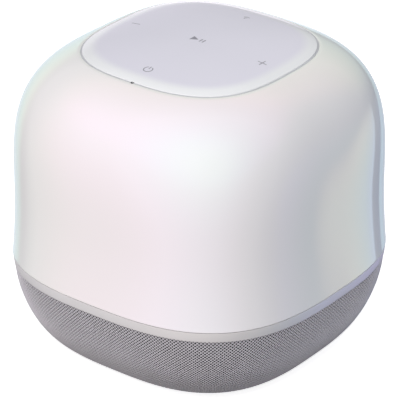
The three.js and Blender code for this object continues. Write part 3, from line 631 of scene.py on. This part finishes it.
def build_dome(material):
    opening = PANEL_HALF + GROOVE_HALF
    ledge_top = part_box("panel_seal_ring")[0].z
    ledge_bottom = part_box("mic_port")[0].z
    ledge_inner = PANEL_HALF - DOME_LEDGE
    lip_height = dome_height_at(opening + LIP)
    edge_rings = (0.005, 0.015, 0.06)  # close together, so that the rounded edge doesn't shade the wall
    profile = [
        (BODY_HALF - DOME_EDGE, DOME_BOTTOM),
        (BODY_HALF - DOME_EDGE * 0.3, DOME_BOTTOM + DOME_EDGE * 0.3),
        *[wall_point(rise) for rise in (*edge_rings, *spread(7, 0.125, 1)[:-1])],
        *[dome_point(turn) for turn in spread(40, 0, dome_turn_at(opening + LIP))],
        (opening + LIP * 0.3, lip_height - LIP * 0.3),
        (opening, lip_height - LIP),
        (opening, ledge_top),
        (ledge_inner, ledge_top),
        (ledge_inner, ledge_bottom),
        *[dome_point(turn, DOME_WALL) for turn in spread(16, dome_inner_turn(ledge_bottom), 0)],
        (BODY_HALF - DOME_WALL, DOME_BOTTOM),
    ]
    dome = add_piece("dome_casing", loft(profile), material)
    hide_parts("dome_shell")


def panel_height(half):
    """The panel's top surface: a flat crown with a rolled border."""
    reach = PANEL_HALF - GROOVE_HALF
    edge = dome_height_at(reach)
    top = BODY_TOP - INK_PROUD
    crown = (top - edge - PANEL_ROLL) * (half / reach) ** PANEL_CROWN_POWER
    into_border = max(0.0, (half - reach + PANEL_BORDER) / PANEL_BORDER)
    return top - crown - PANEL_ROLL * into_border**2


def build_panel(material):
    reach = PANEL_HALF - GROOVE_HALF
    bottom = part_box("top_panel")[0].z
    profile = [
        (0, bottom),
        (reach, bottom),
        (reach, panel_height(reach) - LIP),
        (reach - LIP * 0.3, panel_height(reach - LIP) - LIP * 0.3),
        *[(half, panel_height(half)) for half in spread(30, reach - LIP, 0)],
    ]
    panel = add_piece("touch_panel", loft(profile, closed=False), material)
    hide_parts("top_panel")


def build_trim(material):
    profile = filleted([
        (CLOTH_TOP_HALF, TRIM_BOTTOM, TRIM_EDGE),
        (BODY_HALF, TRIM_TOP, TRIM_EDGE),
        (BODY_HALF - TRIM_DEPTH, TRIM_TOP, 0),
        (BODY_HALF - TRIM_DEPTH, TRIM_BOTTOM, 0),
    ])
    ring = add_piece("trim_band", loft(profile), material)
    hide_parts("trim_ring")


def build_seal(material):
    """The grey line in the groove: a soft strip that fills it to just below its lips."""
    low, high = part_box("panel_seal_ring")[0].z, dome_height_at(PANEL_HALF) - SEAL_DROP
    reach = GROOVE_HALF - SEAL_GAP
    profile = filleted([
        (PANEL_HALF - reach, low, 0),
        (PANEL_HALF + reach, low, 0),
        (PANEL_HALF + reach, high, SEAL_FILLET),
        (PANEL_HALF - reach, high, SEAL_FILLET),
    ])
    seal = add_piece("panel_seal", loft(profile), material)
    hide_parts("panel_seal_ring")


def build_mic_port(material):
    """The microphone's mouth: a small dark tube let into the groove at the front."""
    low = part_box("mic_port")[0].z
    top = dome_height_at(PANEL_HALF) + MIC_PROUD
    bm = lathe([
        (0, low),
        (MIC_RADIUS, low),
        (MIC_RADIUS, top - MIC_LIP),
        (MIC_RADIUS - MIC_LIP, top),
        (MIC_RADIUS * 0.6, top),
        (MIC_RADIUS * 0.5, top - MIC_LIP),
        (MIC_RADIUS * 0.5, top - MIC_DEPTH),
        (0, top - MIC_DEPTH),
    ], FINE_SIDES)
    bm.transform(Matrix.Translation((0, -PANEL_HALF, 0)))
    port = add_piece("mic_mouth", bm, material)
    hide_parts("mic_port")


# ---------------------------------------------------------------- the touch legends


def arc(x, y, radius, start, end, steps=20):
    """Points along an arc round (x, y), between two angles in degrees."""
    turns = [math.radians(turn) for turn in spread(steps, start, end)]
    return [(x + radius * math.cos(turn), y + radius * math.sin(turn)) for turn in turns]


def stroke(points, width=INK_WIDTH):
    """The two sides of a line of ink drawn through (x, y) points."""
    left, right = [], []
    for i, here in enumerate(points):
        before, after = points[max(i - 1, 0)], points[min(i + 1, len(points) - 1)]
        run = Vector((after[0] - before[0], after[1] - before[1])).normalized() * width / 2
        left.append((here[0] - run.y, here[1] + run.x))
        right.append((here[0] + run.y, here[1] - run.x))
    return left, right


def on_panel(x, y, lift):
    """The point of the panel's surface over (x, y), lifted straight up."""
    half = (abs(x) ** SQUARENESS + abs(y) ** SQUARENESS) ** (1 / SQUARENESS)
    return Vector((x, y, panel_height(half) + lift))


def ink_strip(bm, sides, x, y):
    """A strip of ink between two sides, laid on the panel with its middle at (x, y)."""
    tops, bottoms = [], []
    for side in sides:
        tops.append([bm.verts.new(on_panel(x + a, y + b, INK_PROUD)) for a, b in side])
        bottoms.append([bm.verts.new(on_panel(x + a, y + b, -INK_DEPTH)) for a, b in side])
    rails = [*zip(*tops, *reversed(bottoms))]
    for (a, b, c, d), (e, f, g, h) in zip(rails, rails[1:]):
        for face in ((a, b, f, e), (b, c, g, f), (c, d, h, g), (d, a, e, h)):
            bm.faces.new(face)
    bm.faces.new(rails[0])
    bm.faces.new(rails[-1])


def legend_marks():
    """Every stroke of the five touch legends, with the place of its legend."""
    gap = 0.26 * MM  # keeps the two halves of the plus's upright off its cross stroke
    half = 2.4 * MM
    power = stroke(arc(0, 0, 2.1 * MM, 120, 420)), stroke([(0, 0.5 * MM), (0, 2.5 * MM)])
    across = stroke([(-half, 0), (half, 0)])
    upright = stroke([(0, -half), (0, -gap)]), stroke([(0, gap), (0, half)])
    play = [[(-3.6 * MM, side * 2.1 * MM), (-0.1 * MM, side * 0.2 * MM)] for side in (-1, 1)]
    pause = [stroke([(x, -1.4 * MM), (x, 1.4 * MM)], 0.7 * MM) for x in (1.6 * MM, 3.3 * MM)]
    fan = [stroke(arc(0, -1.2 * MM, reach, 50, 130, 10)) for reach in (1.3 * MM, 2.4 * MM)]
    dot = stroke([(-0.4 * MM, -1.2 * MM), (0.4 * MM, -1.2 * MM)], 0.8 * MM)
    return [
        *[(mark, 0, -INK_REACH) for mark in power],
        *[(mark, INK_REACH, 0) for mark in (across, *upright)],
        (across, -INK_REACH, 0),
        *[(mark, 0, 0) for mark in (play, *pause)],
        *[(mark, 0, INK_REACH) for mark in (*fan, dot)],
    ]


def build_legends(material):
    bm = bmesh.new()
    for mark, x, y in legend_marks():
        ink_strip(bm, mark, x, y - INK_FORWARD)
    legends = add_piece("panel_legends", bm, material, smooth=False)


# ---------------------------------------------------------------- the woven basket


def basket_table():
    """Turns along the basket's curve, with the length from the foot to each."""
    turns = spread(BASKET_SAMPLES, 0, math.pi / 2)
    points = [basket_point(turn, CLOTH_INSET) for turn in turns]
    lengths = [0.0]
    for a, b in zip(points, points[1:]):
        lengths.append(lengths[-1] + math.dist(a, b))
    return turns, lengths


BASKET_TURNS, BASKET_LENGTHS = basket_table()


def basket_turn_at(share):
    """The turn that lies a share of the way along the basket's curve from its foot."""
    target = share * BASKET_LENGTHS[-1]
    after = min(len(BASKET_LENGTHS) - 1, max(1, bisect_left(BASKET_LENGTHS, target)))
    low, high = BASKET_LENGTHS[after - 1], BASKET_LENGTHS[after]
    mix = (target - low) / (high - low)
    return BASKET_TURNS[after - 1] + (BASKET_TURNS[after] - BASKET_TURNS[after - 1]) * mix


def basket_rows(count, inset):
    """(half width, height, direction up the curve) of evenly spaced rows up the basket."""
    rows = []
    nudge = 0.01
    for i in range(count + 1):
        turn = basket_turn_at(i / count)
        half, height = basket_point(turn, inset)
        ahead = basket_point(min(turn + nudge, math.pi / 2), inset)
        behind = basket_point(max(turn - nudge, 0), inset)
        along = Vector((ahead[0] - behind[0], ahead[1] - behind[1])).normalized()
        rows.append((half, height, along))
    return rows


def in_bezel_hole(point, margin):
    """Whether a point of the cloth lies in the rounded hole for the rear bezel, grown by a margin."""
    if point.y < 0:
        return False
    middle, reach = (BEZEL_HIGH + BEZEL_LOW) / 2, (BEZEL_HIGH - BEZEL_LOW) / 2
    across = abs(point.x - middle.x) - reach.x + BEZEL_CORNER
    up = abs(point.z - middle.z) - reach.z + BEZEL_CORNER
    if across <= 0 or up <= 0:
        return max(across, up) < BEZEL_CORNER + margin
    return math.hypot(across, up) < BEZEL_CORNER + margin


def yarn_sections(yarn, lean, rows):
    """(centre, normal, half width) at each step of one yarn, which waves over and under the others."""
    sections = []
    for i, (half, height, along) in enumerate(rows):
        climb = i / YARN_STEPS
        x, y = plan_at((yarn + lean * climb) / YARNS)
        out = plan_normal(x, y)
        normal = Vector((out.x * along.y, out.y * along.y, -along.x))
        phase = 2 * math.pi * climb + (0 if lean > 0 else math.pi)
        centre = Vector((half * x, half * y, height)) + normal * YARN_LIFT * math.cos(phase)
        sections.append((centre, normal, YARN_WIDTH / 2 * (half / CLOTH_TOP_HALF)))
    return sections


def split_at_bezel(sections):
    """The runs of a yarn that are left when the bezel's hole is cut."""
    runs = [[]]
    for section in sections:
        if in_bezel_hole(section[0], BEZEL_GAP):
            runs.append([])
        else:
            runs[-1].append(section)
    return [run for run in runs if len(run) > 1]


def add_yarn(bm, sections):
    """A closed strand with a ridged, three-sided section."""
    rings = []
    last = len(sections) - 1
    for k, (centre, normal, width) in enumerate(sections):
        run = sections[min(k + 1, last)][0] - sections[max(k - 1, 0)][0]
        side = run.cross(normal).normalized() * width
        base = centre - normal * YARN_HEIGHT * YARN_BASE
        ridge = centre + normal * YARN_HEIGHT * (1 - YARN_BASE)
        rings.append([bm.verts.new(base + side), bm.verts.new(ridge), bm.verts.new(base - side)])
    for low, high in zip(rings, rings[1:]):
        bridge(bm, low, high)
    bm.faces.new(rings[0])
    bm.faces.new(rings[-1])


def build_yarns(name, lean, material):
    """One family of yarns that climb the basket at a slant, passing over and under the other family."""
    bm = bmesh.new()
    rows = basket_rows(YARN_CROSSINGS * YARN_STEPS, YARN_INSET)
    for yarn in range(YARNS):
        for run in split_at_bezel(yarn_sections(yarn, lean, rows)):
            add_yarn(bm, run)
    piece = add_piece(name, bm, material)
    return piece


def scrim_mesh():
    """The dark backing under the yarns: two skins with the bezel's hole left out and every edge closed."""
    bm = bmesh.new()
    plan = [plan_at(i / PLAN_SIDES) for i in range(PLAN_SIDES)]
    skins = []
    for inset in SCRIM_FACES:
        rows = [basket_point(turn, inset) for turn in spread(SCRIM_ROWS, 0, math.pi / 2)]
        skins.append([[bm.verts.new((half * x, half * y, z)) for x, y in plan] for half, z in rows])
    kept = set()
    for row in range(SCRIM_ROWS):
        for side in range(PLAN_SIDES):
            corner = skins[0][row][side].co
            middle = (corner + skins[0][row + 1][(side + 1) % PLAN_SIDES].co) / 2
            if not in_bezel_hole(middle, BEZEL_SCRIM_GAP):
                kept.add((row, side))
    for row, side in kept:
        after = (side + 1) % PLAN_SIDES
        for skin in skins:
            bm.faces.new((skin[row][side], skin[row][after], skin[row + 1][after], skin[row + 1][side]))
        edges = {
            (row - 1, side): ((row, side), (row, after)),
            (row + 1, side): ((row + 1, side), (row + 1, after)),
            (row, (side - 1) % PLAN_SIDES): ((row, side), (row + 1, side)),
            (row, after): ((row, after), (row + 1, after)),
        }
        for neighbour, ((r0, s0), (r1, s1)) in edges.items():
            if neighbour not in kept:
                outer, inner = skins
                bm.faces.new((outer[r0][s0], outer[r1][s1], inner[r1][s1], inner[r0][s0]))
    loose = [vert for vert in bm.verts if not vert.link_faces]
    bmesh.ops.delete(bm, geom=loose, context="VERTS")
    return bm


def build_cloth(yarn, scrim):
    """The cloth: one strip stretched round the basket, as a dark backing and two families of yarns.
    """
    backing = add_piece("grille_scrim", scrim_mesh(), scrim)
    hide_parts("grille_cloth")
    families = [
        build_yarns("grille_yarns_left", -1, yarn),
        build_yarns("grille_yarns_right", 1, yarn),
    ]


# ---------------------------------------------------------------- the rear ports, the foot and the spider


def rounded_outline(width, height, corner, steps=6):
    """(x, z) points of a rounded rectangle round the origin."""
    outline = []
    for turn, (sx, sz) in zip((0, 90, 180, 270), ((1, 1), (-1, 1), (-1, -1), (1, -1))):
        x, z = sx * (width / 2 - corner), sz * (height / 2 - corner)
        outline.extend(arc(x, z, corner, turn, turn + 90, steps))
    return outline


def fill_between(bm, loops):
    """A flat face with holes, between loops of points."""
    edges = []
    for loop in loops:
        for a, b in zip(loop, loop[1:] + loop[:1]):
            edges.append(bm.edges.get((a, b)) or bm.edges.new((a, b)))
    bmesh.ops.triangle_fill(bm, use_beauty=True, edges=edges)


def node_centre(node):
    low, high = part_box(node)
    return (low + high) / 2


def build_bezel(material):
    """The rear bezel: a rounded plate with a raised rim, a sunk field and two round holes."""
    size, middle = BEZEL_HIGH - BEZEL_LOW, node_centre("port_bezel")
    back, front = BEZEL_LOW.y, BEZEL_HIGH.y
    field = front - BEZEL_SINK
    steps = [
        (0, back),
        (0, front - BEZEL_EDGE),
        (BEZEL_EDGE * 0.3, front - BEZEL_EDGE * 0.3),
        (BEZEL_EDGE, front),
        (BEZEL_RIM, front),
        (BEZEL_RIM + BEZEL_SINK * 0.4, field),
    ]
    bm = bmesh.new()
    rings = []
    for inset, y in steps:
        outline = rounded_outline(size.x - 2 * inset, size.z - 2 * inset, BEZEL_CORNER - inset)
        rings.append([bm.verts.new((x, y, z + middle.z)) for x, z in outline])
    for outer, inner in zip(rings, rings[1:]):
        bridge(bm, outer, inner)
    field_loops, back_loops = [rings[-1]], [rings[0]]
    for node, radius in PORT_HOLES.items():
        centre = node_centre(node)
        circle = arc(centre.x, centre.z, radius, 0, 360, PORT_SIDES)[:-1]
        mouth = [bm.verts.new((x, field, z)) for x, z in circle]
        end = [bm.verts.new((x, back, z)) for x, z in circle]
        bridge(bm, mouth, end)
        field_loops.append(mouth)
        back_loops.append(end)
    fill_between(bm, field_loops)
    fill_between(bm, back_loops)
    bezel = add_piece("rear_bezel", bm, material, smooth=False)
    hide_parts("port_bezel")


def build_jack(shell, metal):
    """The DC inlet: a round nose on a wider body, with a pin in its bore."""
    low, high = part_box("dc_jack")
    middle = node_centre("dc_jack")
    front, back = high.y, low.y
    body, nose, bore, lip = 5 * MM, 3.9 * MM, 2.8 * MM, 0.25 * MM
    step = front - 4.6 * MM
    socket = lathe([
        (0, back),
        (body, back),
        (body, step),
        (nose, step),
        (nose, front - lip),
        (nose - lip, front),
        (bore + lip, front),
        (bore, front - lip),
        (bore, back + 2 * MM),
        (0, back + 2 * MM),
    ])
    jack = add_piece("jack_socket", face_back(socket, middle.x, middle.z), shell)
    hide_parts("dc_jack")
    root, tip, radius = back + 1.5 * MM, front - 1.2 * MM, 1 * MM
    needle = lathe([
        (0, root),
        (radius, root),
        (radius, tip - 0.5 * MM),
        (radius * 0.7, tip - 0.1 * MM),
        (0, tip),
    ], FINE_SIDES)
    pin = add_piece("jack_pin", face_back(needle, middle.x, middle.z), metal)


def build_button(material):
    """The set-up button, with a dished cap and a collar. It travels with its own body."""
    low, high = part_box("setup_button")
    middle = node_centre("setup_button")
    front, radius, stem, edge = high.y, 2 * MM, 1 * MM, 0.35 * MM
    collar, collar_front = radius + 1.2 * MM, front - 4.3 * MM
    collar_back = collar_front - 1 * MM
    cap = lathe([
        (0, low.y),
        (stem, low.y),
        (stem, collar_back),
        (collar, collar_back),
        (collar, collar_front),
        (radius, collar_front),
        (radius, front - edge),
        (radius - edge * 0.3, front - edge * 0.3),
        (radius - edge, front),
        (radius * 0.6, front - 0.08 * MM),
        (radius * 0.3, front - 0.18 * MM),
        (0, front - 0.2 * MM),
    ])
    button = add_piece("setup_cap", face_back(cap, middle.x, middle.z), material, body="setup_button")
    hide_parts("setup_button")


def build_foot(material):
    """The rubber foot: a rounded strip under the base plate's edge."""
    outer = node_half("foot_ring")
    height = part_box("foot_ring")[1].z
    width, edge = 10 * MM, 0.4 * MM
    inner = outer - width
    foot = add_piece("foot_strip", loft(filleted([
        (inner, 0, edge),
        (outer, 0, edge),
        (outer, height, 0),
        (inner, height, 0),
    ])), material)
    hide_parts("foot_ring")


def build_spider(material):
    """The woofer's spider: a rippled, cupped ring that bends between the basket and the moving coil."""
    outer, inner = node_half("woofer_spider"), node_half("woofer_voice_coil") + 0.1 * MM
    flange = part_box("woofer_spider")[1].z
    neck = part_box("woofer_cone")[1].z + 0.7 * MM
    skin, ripple, ripples = 0.35 * MM, 0.25 * MM, 5
    top = []
    for share in spread(60, 0, 1):
        wave = ripple * math.sin(2 * math.pi * ripples * share) * math.sin(math.pi * share)
        top.append((inner + (outer - inner) * share, neck + (flange - neck) * share + wave))
    bottom = [(radius, height - skin) for radius, height in reversed(top)]
    ring = lathe(top + bottom, 2 * PORT_SIDES, closed=True)
    spider = add_piece("rippled_spider", ring, material, body=None)
    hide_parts("woofer_spider")
    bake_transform(spider)


# ---------------------------------------------------------------- the CAD nodes that stay


def slot_materials():
    """One procedural material for each of the record's slots that a CAD node still shows."""
    return {
        "black_plastic": plain_material("black_plastic", (0.025, 0.025, 0.028), 0.5),
        "grey_plastic": plain_material("grey_plastic", (0.2, 0.205, 0.215), 0.55),
        "foot_rubber": plain_material("foot_rubber", (0.03, 0.03, 0.031), 0.85, grain=1500),
        "seal_rubber": plain_material("seal_rubber", (0.55, 0.56, 0.59), 0.5, grain=1500),
        "steel": plain_material("steel", (0.55, 0.55, 0.56), 0.32, grain=1800, Metallic=1),
        "ferrite": plain_material("ferrite", (0.035, 0.035, 0.04), 0.65, Metallic=0.2),
        "cone_paper": fibre_material("cone_paper", (0.045, 0.045, 0.048), (0.075, 0.075, 0.078)),
        "copper_wire": plain_material("copper_wire", (0.75, 0.35, 0.16), 0.35, grain=2600, Metallic=1),
        "spider_cloth": fibre_material("spider_cloth", (0.48, 0.3, 0.09), (0.62, 0.42, 0.16)),
        "circuit_board": board_material(),
        "ribbon_film": plain_material("ribbon_film", (0.55, 0.28, 0.06), 0.3),
    }


def dress_cad_nodes(materials):
    """Give every CAD node that still shows the material of its slot in the record."""
    slots = {part["node"]: part["material_slot"] for part in frame["record"]["subparts"]}
    for name, node in frame["nodes"].items():
        node.data.materials.clear()
        node.data.materials.append(materials.get(slots[name], materials["grey_plastic"]))


# ---------------------------------------------------------------- the scene

bpy.context.scene.view_settings.view_transform = "Standard"
add_camera()
add_world()
add_floor()

finishes = slot_materials()
dress_cad_nodes(finishes)
build_dome(pearl_material())
build_panel(panel_material())
build_seal(finishes["seal_rubber"])
build_mic_port(finishes["black_plastic"])
build_legends(ink_material())
build_trim(silver_material())
build_cloth(yarn_material(), scrim_material())
build_bezel(finishes["black_plastic"])
build_jack(finishes["black_plastic"], finishes["steel"])
build_button(finishes["grey_plastic"])
build_foot(finishes["foot_rubber"])
build_spider(finishes["spider_cloth"])
